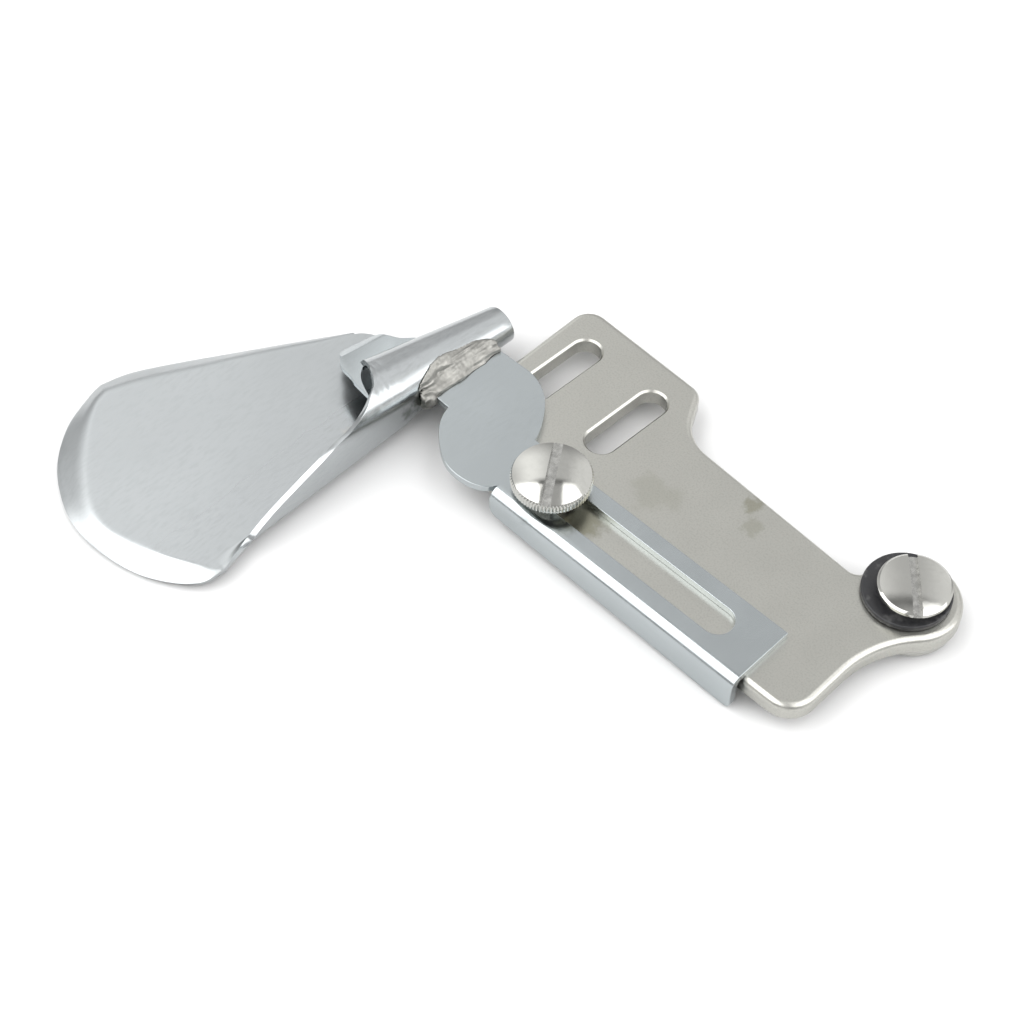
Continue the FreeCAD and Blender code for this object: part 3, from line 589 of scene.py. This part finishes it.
# Points of radius, height and how much of the knurl's depth is cut there
def thumbProfile():
    shank = thumb["shankR"]
    collar = thumb["collarR"]
    radius = thumb["headR"]
    tip, seat = thumb["tip"], thumb["seat"]
    low, high = thumb["collarTop"], thumb["bandTop"]
    points = [
        (0.0, tip, 0), (shank - 0.3, tip, 0), (shank, tip + 0.3, 0),
        (shank, seat - 0.001, 0), (shank, seat, 0),
        (collar - 0.1, seat, 0), (collar, seat + 0.1, 0),
        (collar, low - 0.02, 0), (collar + 0.05, low, 0),
        (radius - 0.36, low, 0), (radius - 0.3, low + 0.03, 0), (radius - 0.12, low + 0.2, 0.5),
        (radius - 0.02, low + 0.32, 1), (radius, low + 0.4, 1), (radius, high - 0.4, 1),
        (radius - 0.02, high - 0.32, 1), (radius - 0.12, high - 0.16, 0.4), (radius - 0.2, high - 0.08, 0),
    ]
    return points + domePoints(thumb["rimR"], high, thumb["dome"], 14)


# The top of a head, from its rim to its middle
def domePoints(rim, low, rise, steps):
    points = []
    for index in range(steps + 1):
        r = rim * (1 - index / steps)
        points.append((r, low + rise * (1 - (r / rim) ** 2), 0))
    return points


# A driver slot cut by a box; its walls get a darker metal: painted shade in the slot, with a patchy, rougher
# finish
def cutSlot(piece, spec, top):
    half = spec["slot"] / 2 * mm
    turn = math.radians(spec["slotTurn"])
    along = Vector((math.cos(turn), math.sin(turn), 0)) * 8 * mm
    across = Vector((-math.sin(turn), math.cos(turn), 0)) * half
    middle = Vector((*spec["at"], 0)) * mm
    shape = bmesh.new()
    corners = []
    for z in (top - spec["slotDeep"], top + 2):
        for a, b in ((1, 1), (-1, 1), (-1, -1), (1, -1)):
            corners.append(shape.verts.new(middle + along * a + across * b + Vector((0, 0, z * mm))))
    for ids in ((3, 2, 1, 0), (4, 5, 6, 7), (0, 1, 5, 4), (1, 2, 6, 5), (2, 3, 7, 6), (3, 0, 4, 7)):
        shape.faces.new([corners[i] for i in ids])
    mesh = bpy.data.meshes.new("driver")
    shape.to_mesh(mesh)
    shape.free()
    mesh.materials.append(slotShadedMetal)
    cutter = bpy.data.objects.new("driver", mesh)
    bpy.context.scene.collection.objects.link(cutter)
    cut = piece.modifiers.new("slot", "BOOLEAN")
    cut.operation = "DIFFERENCE"
    cut.solver = "EXACT"
    cut.material_mode = "TRANSFER"
    cut.object = cutter
    bpy.context.view_layer.update()
    settle(piece)
    bpy.data.objects.remove(cutter)
    bpy.data.meshes.remove(mesh)


# A screw turned from a profile of (radius, height, share of the knurl's depth), with a driver slot
def makeScrew(name, node, body, spec, profile):
    count = spec["ridges"] * spec["perRidge"]
    centre = Vector((*spec["at"], 0))
    shape = bmesh.new()
    rings = []
    for radius, z, knurled in profile:
        if radius < 1e-6:
            rings.append([shape.verts.new((centre + Vector((0, 0, z))) * mm)])
            continue
        ring = []
        for step in range(count):
            angle = 2 * math.pi * step / count
            wave = 0.5 - 0.5 * math.cos(angle * spec["ridges"])
            r = radius - knurled * spec["ridgeDeep"] * (1 - wave ** 0.7)
            place = centre + Vector((r * math.cos(angle), r * math.sin(angle), z))
            ring.append(shape.verts.new(place * mm))
        rings.append(ring)
    for low, high in zip(rings, rings[1:]):
        for step in range(count):
            after = (step + 1) % count
            if len(low) == 1:
                shape.faces.new((low[0], high[after], high[step]))
            elif len(high) == 1:
                shape.faces.new((low[step], low[after], high[0]))
            else:
                shape.faces.new((low[step], low[after], high[after], high[step]))
    bmesh.ops.recalc_face_normals(shape, faces=shape.faces)
    mesh = bpy.data.meshes.new(name)
    shape.to_mesh(mesh)
    shape.free()
    piece = addPiece(name, mesh, screwMetal, body, node)
    cutSlot(piece, spec, profile[-1][1])
    smoothAll(piece.data)
    piece.data.set_sharp_from_angle(angle=math.radians(26))
    bevel = piece.modifiers.new("edge", "BEVEL")
    bevel.width = spec["edge"] * mm
    bevel.segments = 2
    bevel.limit_method = "ANGLE"
    bevel.angle_limit = math.radians(60)
    bevel.harden_normals = True


makeScrew("thumb_screw_turned", "thumb_screw", "clamp", thumb, thumbProfile())

# Pivot screw: a thin domed head on a shoulder, above the black washer
pivot = {
    "at": (0.0, 0.0), "tip": -3.85, "shankR": 2.43, "seat": 0.8, "shoulderR": 3.5,
    "headLow": 1.95, "headR": 4.36, "sideTop": 2.5, "rimR": 4.07, "rimTop": 2.68, "top": 3.0,
    "ridges": 1, "perRidge": 160, "ridgeDeep": 0.0,
    "slot": 1.1, "slotDeep": 1.0, "slotTurn": 132.4, "edge": 0.09,
}


def pivotProfile():
    points = [
        (0.0, pivot["tip"], 0), (pivot["shankR"] - 0.2, pivot["tip"], 0),
        (pivot["shankR"], pivot["tip"] + 0.2, 0), (pivot["shankR"], pivot["seat"], 0),
        (pivot["shoulderR"], pivot["seat"], 0), (pivot["shoulderR"], pivot["headLow"], 0),
        (pivot["headR"] - 0.12, pivot["headLow"], 0), (pivot["headR"], pivot["headLow"] + 0.12, 0),
        (pivot["headR"], pivot["sideTop"], 0), (pivot["rimR"] + 0.02, pivot["rimTop"] - 0.02, 0),
    ]
    return points + domePoints(pivot["rimR"], pivot["rimTop"], pivot["top"] - pivot["rimTop"], 12)


makeScrew("pivot_screw_turned", "pivot_screw", "pivot", pivot, pivotProfile())
print("stage: screws")

# Solder: the bead gets the ridges and pits of metal that froze as it ran along the tube
bead = {
    "cell": 0.09, "across": 0.8, "alongTube": 4.5, "ridge": 0.42,
    "pit": 0.05, "pitSize": 0.5, "sunk": 0.2,
}


def makeBead():
    mesh = nodes["solder_bead"].data.copy()
    piece = addPiece("solder_seam", mesh, solderMetal, "folder", "solder_bead")
    cells = piece.modifiers.new("cells", "REMESH")
    cells.mode = "VOXEL"
    cells.voxel_size = bead["cell"] * mm
    settle(piece)
    mesh = piece.data
    normals = [vertex.normal.copy() for vertex in mesh.vertices]
    for vertex, normal in zip(mesh.vertices, normals):
        place = vertex.co / mm
        run = Vector((place.x / bead["across"], place.y / bead["alongTube"], place.z / bead["across"]))
        ridge = 0.5 - abs(noise.noise(run))
        pits = noise.noise(place / bead["pitSize"])
        vertex.co += normal * ((ridge * bead["ridge"] + pits * bead["pit"] - bead["sunk"]) * mm)
    smoothAll(mesh)


makeBead()
print("stage: solder")

# Studio: a pale table, a grey room, two white panels overhead with a dimmer gap between them.
# Turns from overhead are in radians, toward the camera's side where they are above 0; the fades
# from left to right go from -1 to 1
studio = {
    "floorSize": 3.0, "floorDrop": 0.05, "floorColour": (0.7, 0.7, 0.7),
    "cameraSide": -47.3, "left": 1.55, "middle": 0.8, "right": 1.15, "low": 0.5, "front": 0.55,
    "leftFade": (-0.28, 0.12), "rightFade": (0.2, 0.42), "endFade": (-0.6, -0.3),
    "lowFade": (-1.5, -0.95), "frontFade": (0.2, 1.1),
    "panel": 2.9, "panelFrom": -0.42, "panelTo": 0.95, "panelBack": 0.35, "backFade": (0.35, 0.6),
    "gap": 0.62, "gapHalf": 0.19, "shade": 0.6, "shadeFade": (0.15, 0.4),
    "lampPower": 0.4, "lampSize": 0.35, "lampAt": (-260.0, -160.0, 450.0), "lampTo": (-40.0, -20.0, 0.0),
}


# The room's brightness, worked out from the direction of the light
def makeRoom():
    world = bpy.data.worlds.new("room")
    bpy.context.scene.world = world
    world.use_nodes = True
    tree = world.node_tree
    way = Sock(tree, tree.nodes.new("ShaderNodeTexCoord").outputs["Generated"])
    side = math.radians(studio["cameraSide"])
    front = way.along((math.cos(side), math.sin(side), 0.0))
    across = way.along((-math.sin(side), math.cos(side), 0.0))
    sideways = abs(across)
    height = way.along((0.0, 0.0, 1.0))
    tilt = front.maths("ARCTAN2", front, height)
    low, high = studio["panelFrom"], studio["panelTo"]
    lag = tilt - across.ramp(*studio["backFade"], 0.0, studio["panelBack"])
    over = lag.ramp(low - 0.03, low + 0.03) * (1 - tilt.ramp(high - 0.1, high + 0.1))
    gap = 1 - sideways.ramp(studio["gapHalf"] - 0.02, studio["gapHalf"] + 0.02)
    panel = gap * (studio["gap"] - studio["panel"]) + studio["panel"]
    wall = across.ramp(*studio["leftFade"], studio["left"], studio["middle"])
    wall = wall + across.ramp(*studio["rightFade"], 0.0, studio["right"] - studio["middle"])
    wall = wall - across.ramp(*studio["endFade"], studio["left"] - studio["middle"], 0.0)
    deep = tilt.ramp(*studio["lowFade"], studio["low"], 1.0)
    room = wall * deep * tilt.ramp(*studio["frontFade"], 1.0, studio["front"])
    edge = lag.ramp(low - 0.1, low) * (1 - lag.ramp(low, low + 0.12))
    edge = edge * (1 - sideways.ramp(*studio["shadeFade"]))
    light = (room * (1 - over) + panel * over) * (1 - edge * studio["shade"])
    background = tree.nodes["Background"]
    background.inputs["Color"].default_value = (1, 1, 1, 1)
    light.feed(background, "Strength")


def makeStudio():
    low = min(corner[2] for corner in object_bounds())
    mesh = bpy.data.meshes.new("floor")
    half = studio["floorSize"] / 2
    corners = [(-half, -half, 0), (half, -half, 0), (half, half, 0), (-half, half, 0)]
    mesh.from_pydata(corners, [], [(0, 1, 2, 3)])
    floor = bpy.data.objects.new("floor", mesh)
    floor.location = (0, 0, low - studio["floorDrop"] * mm)
    bpy.context.scene.collection.objects.link(floor)
    material, shader, point = newMaterial("floor_white")
    shader.inputs["Base Color"].default_value = studio["floorColour"] + (1.0,)
    shader.inputs["Roughness"].default_value = 0.9
    shader.inputs["Specular IOR Level"].default_value = 0.1
    mesh.materials.append(material)
    floor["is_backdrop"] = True
    lamp = bpy.data.lights.new("overhead", "AREA")
    lamp.energy = studio["lampPower"]
    lamp.size = studio["lampSize"]
    overhead = bpy.data.objects.new("overhead", lamp)
    overhead.location = Vector(studio["lampAt"]) * mm
    aim = Vector(studio["lampTo"]) * mm - overhead.location
    overhead.rotation_euler = aim.to_track_quat("-Z", "Y").to_euler()
    bpy.context.scene.collection.objects.link(overhead)
    bpy.context.scene.view_settings.view_transform = "Standard"


makeRoom()
makeStudio()
print("stage: studio")
